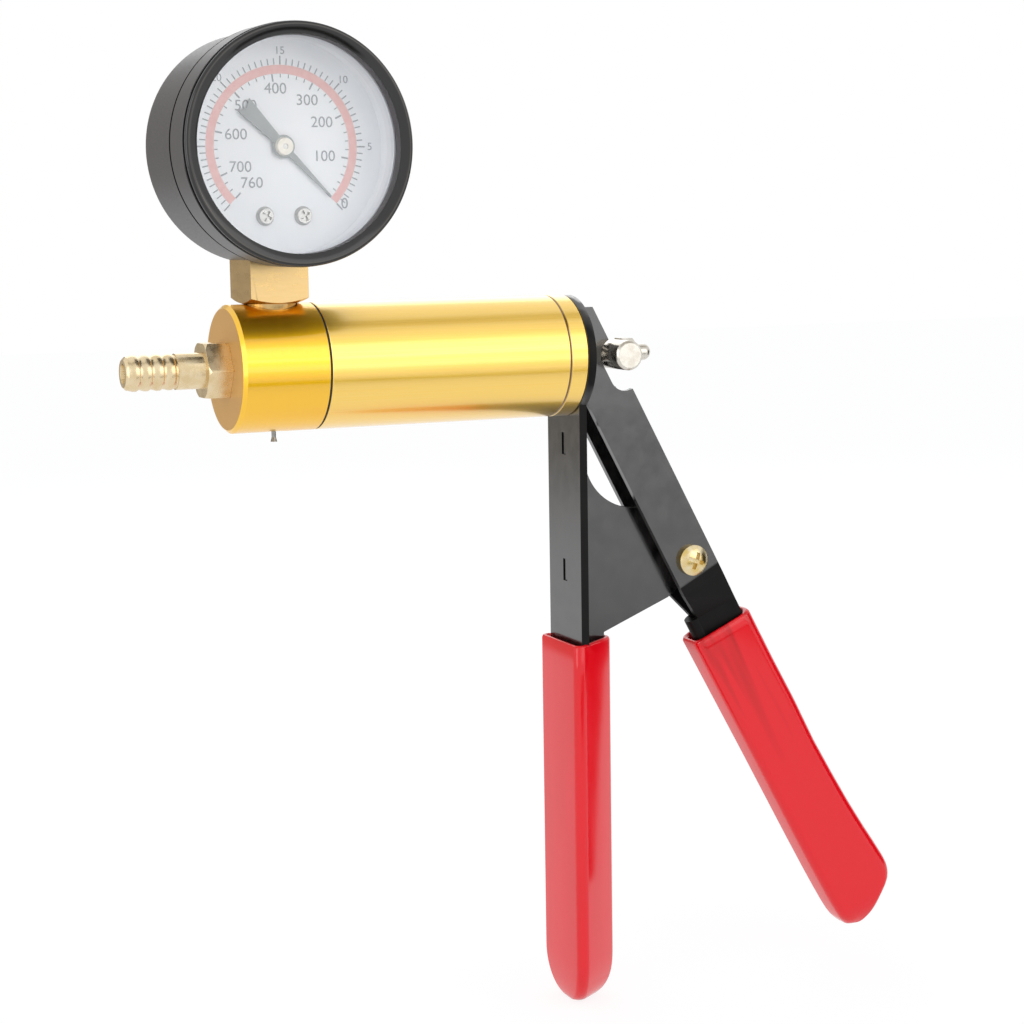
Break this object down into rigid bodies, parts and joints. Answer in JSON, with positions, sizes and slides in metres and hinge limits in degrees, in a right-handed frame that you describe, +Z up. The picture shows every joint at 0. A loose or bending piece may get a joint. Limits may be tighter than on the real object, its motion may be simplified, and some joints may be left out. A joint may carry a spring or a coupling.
{
  "type": "hand vacuum pump with gauge",
  "caption": "Hand-held vacuum pump: round barrel with a hose nipple, a dial gauge on top and a squeeze lever beside a fixed handle.",
  "frame": {"origin": "on the barrel's axis at the hose nipple's shoulder, where a hose stops", "axes": "+X along the barrel from the nipple to the handles, +Z up from the handles to the gauge, the gauge faces -Y"},
  "size_m": [0.1967, 0.0379, 0.2327],
  "materials": {
    "gold_anodised": "satin gold anodising",
    "brass": "turned brass",
    "black_paint": "gloss black enamel on steel sheet",
    "black_case": "satin black enamel",
    "red_vinyl": "glossy dipped vinyl",
    "bright_plate": "bright nickel plate",
    "yellow_zinc": "yellow zinc plate",
    "plain_steel": "plain steel",
    "plain_aluminium": "turned aluminium",
    "black_rubber": "black rubber",
    "nylon": "natural nylon",
    "clear_window": "clear window",
    "white_dial": "white enamel",
    "pointer_black": "matt black enamel",
    "pointer_boss": "ivory boss"
  },
  "bodies": {
    "pump": {"hose_nipple": "brass", "front_cap": "gold_anodised", "cap_seal": "black_rubber", "barrel_tube": "gold_anodised", "rear_cap": "gold_anodised", "rod_bush": "nylon", "inlet_valve": "black_rubber", "release_body": "brass", "release_spring": "plain_steel", "return_spring": "plain_steel", "handle_bar": "black_paint", "handle_screws": "plain_steel", "gusset_plate": "black_paint", "front_grip": "red_vinyl", "gauge_stem": "brass", "gauge_case": "black_case", "gauge_bezel": "black_case", "gauge_lens": "clear_window", "gauge_dial": "white_dial", "dial_screws": "plain_steel", "bourdon_tube": "brass", "movement_plates": "brass", "hairspring": "plain_steel"},
    "lever": {"lever": "black_paint", "pivot_screw": "yellow_zinc", "pivot_spacers": "nylon", "pivot_nut": "yellow_zinc", "rear_grip": "red_vinyl"},
    "piston": {"piston": "plain_aluminium", "piston_cup": "black_rubber", "piston_washer": "plain_steel", "piston_screw": "plain_steel", "piston_rod": "bright_plate", "cross_pin": "bright_plate", "rod_nut": "bright_plate"},
    "release": {"release_pin": "brass"},
    "pointer": {"pointer": "pointer_black", "pointer_hub": "pointer_boss", "pinion": "plain_steel"},
    "sector": {"sector_gear": "brass"},
    "link": {"tube_link": "plain_steel"}
  },
  "joints": [
    {"name": "lever_squeeze", "type": "hinge", "parent": "pump", "child": "lever", "pos_m": [0.1205, 0, -0.0509], "axis": [0, 1, 0], "range_deg": [0, 24]},
    {"name": "piston_stroke", "type": "slide", "parent": "pump", "child": "piston", "axis": [1, 0, 0], "range_m": [0, 0.02278], "stiffness_N_per_m": 900, "springref_m": -0.015, "deforming": ["return_spring"]},
    {"name": "release_press", "type": "slide", "parent": "pump", "child": "release", "axis": [0, 0, 1], "range_m": [0, 0.0012], "stiffness_N_per_m": 400, "springref_m": -0.003, "deforming": ["release_spring"]},
    {"name": "sector_swing", "type": "hinge", "parent": "pump", "child": "sector", "pos_m": [0.027, 0.00037, 0.03779], "axis": [0.0349, -0.9994, 0], "range_deg": [-30, 0], "stiffness_Nm_per_rad": 0.004},
    {"name": "pointer_turn", "type": "hinge", "parent": "pump", "child": "pointer", "pos_m": [0.0164, 0, 0.0484], "axis": [0.0349, -0.9994, 0], "range_deg": [0, 270]},
    {"name": "link_pull", "type": "slide", "parent": "pump", "child": "link", "axis": [-0.7067, -0.0247, -0.7071], "range_m": [0, 0.00158]}
  ],
  "couplings": [
    {"joint": "piston_stroke", "follows": "lever_squeeze", "m_per_rad": 0.054148},
    {"joint": "pointer_turn", "follows": "sector_swing", "ratio": -9},
    {"joint": "link_pull", "follows": "sector_swing", "m_per_rad": -0.0029658}
  ]
}
